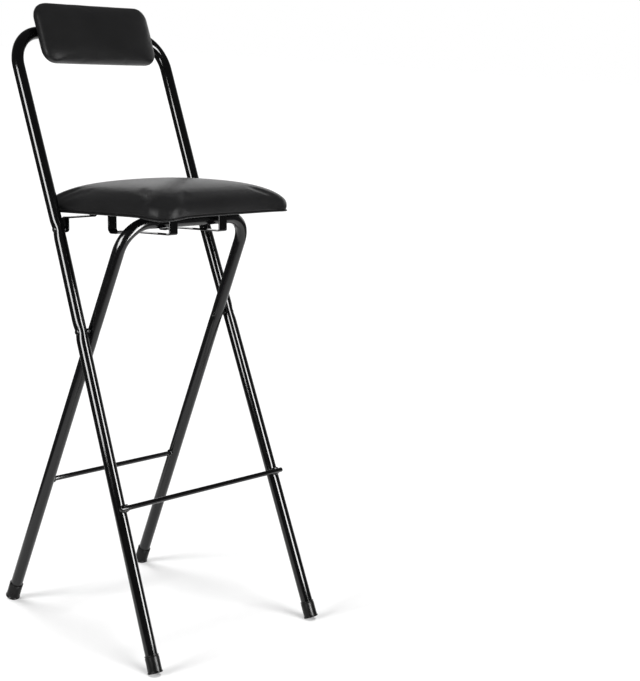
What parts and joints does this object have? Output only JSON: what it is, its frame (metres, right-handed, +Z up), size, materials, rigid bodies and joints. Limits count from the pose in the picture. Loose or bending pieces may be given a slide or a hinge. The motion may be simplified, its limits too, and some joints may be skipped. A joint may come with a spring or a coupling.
{
  "type": "folding bar stool",
  "caption": "Tall folding stool with a padded seat, a small padded backrest and crossed tube frames that fold flat.",
  "frame": {"origin": "on the floor, in the middle of the open stool's bounding box", "axes": "+Z up; the sitter faces -Y and leans back towards +Y; +X is the sitter's left and runs along every pivot"},
  "size_m": [0.4226, 0.4878, 1.1159],
  "materials": {
    "gloss_paint": "gloss black paint on steel",
    "satin_paint": "satin black paint on steel",
    "black_vinyl": "soft black vinyl over foam",
    "black_board": "black stained board",
    "cap_rubber": "matt black rubber",
    "bright_zinc": "bright zinc plate"
  },
  "bodies": {
    "front": {"front_frame": "gloss_paint", "front_foot_bar": "gloss_paint", "left_front_foot_cap": "cap_rubber", "right_front_foot_cap": "cap_rubber", "left_scissor_bolt": "gloss_paint", "right_scissor_bolt": "gloss_paint", "left_scissor_spacer": "gloss_paint", "right_scissor_spacer": "gloss_paint", "left_scissor_nut": "gloss_paint", "right_scissor_nut": "gloss_paint", "left_seat_bolt": "gloss_paint", "right_seat_bolt": "gloss_paint", "left_seat_spacer": "gloss_paint", "right_seat_spacer": "gloss_paint", "left_seat_nut": "gloss_paint", "right_seat_nut": "gloss_paint", "backrest_board": "black_board", "backrest_cushion": "black_vinyl", "left_backrest_bolt": "bright_zinc", "right_backrest_bolt": "bright_zinc", "backrest_tab": "gloss_paint", "backrest_tab_screw": "bright_zinc"},
    "rear": {"rear_frame": "satin_paint", "rear_foot_bar": "satin_paint", "left_rear_foot_cap": "cap_rubber", "right_rear_foot_cap": "cap_rubber"},
    "seat": {"seat_board": "black_board", "seat_cushion": "black_vinyl", "seat_hinge_strap": "gloss_paint", "hinge_strap_screw_1": "gloss_paint", "hinge_strap_screw_2": "gloss_paint", "hinge_strap_screw_3": "gloss_paint", "left_stirrup": "gloss_paint", "right_stirrup": "gloss_paint", "left_stirrup_front_screw": "gloss_paint", "left_stirrup_rear_screw": "gloss_paint", "right_stirrup_front_screw": "gloss_paint", "right_stirrup_rear_screw": "gloss_paint"}
  },
  "joints": [
    {"name": "rear_leg_fold", "type": "hinge", "parent": "front", "child": "rear", "pos_m": [0, 0.00866, 0.55587], "axis": [-1, 0, 0], "range_deg": [0, 43.8]},
    {"name": "seat_fold", "type": "hinge", "parent": "front", "child": "seat", "pos_m": [0, 0.08304, 0.72635], "axis": [-1, 0, 0], "range_deg": [0, 109.35]}
  ],
  "couplings": [
    {"joint": "seat_fold", "follows": "rear_leg_fold", "ratio": 2.4954}
  ]
}
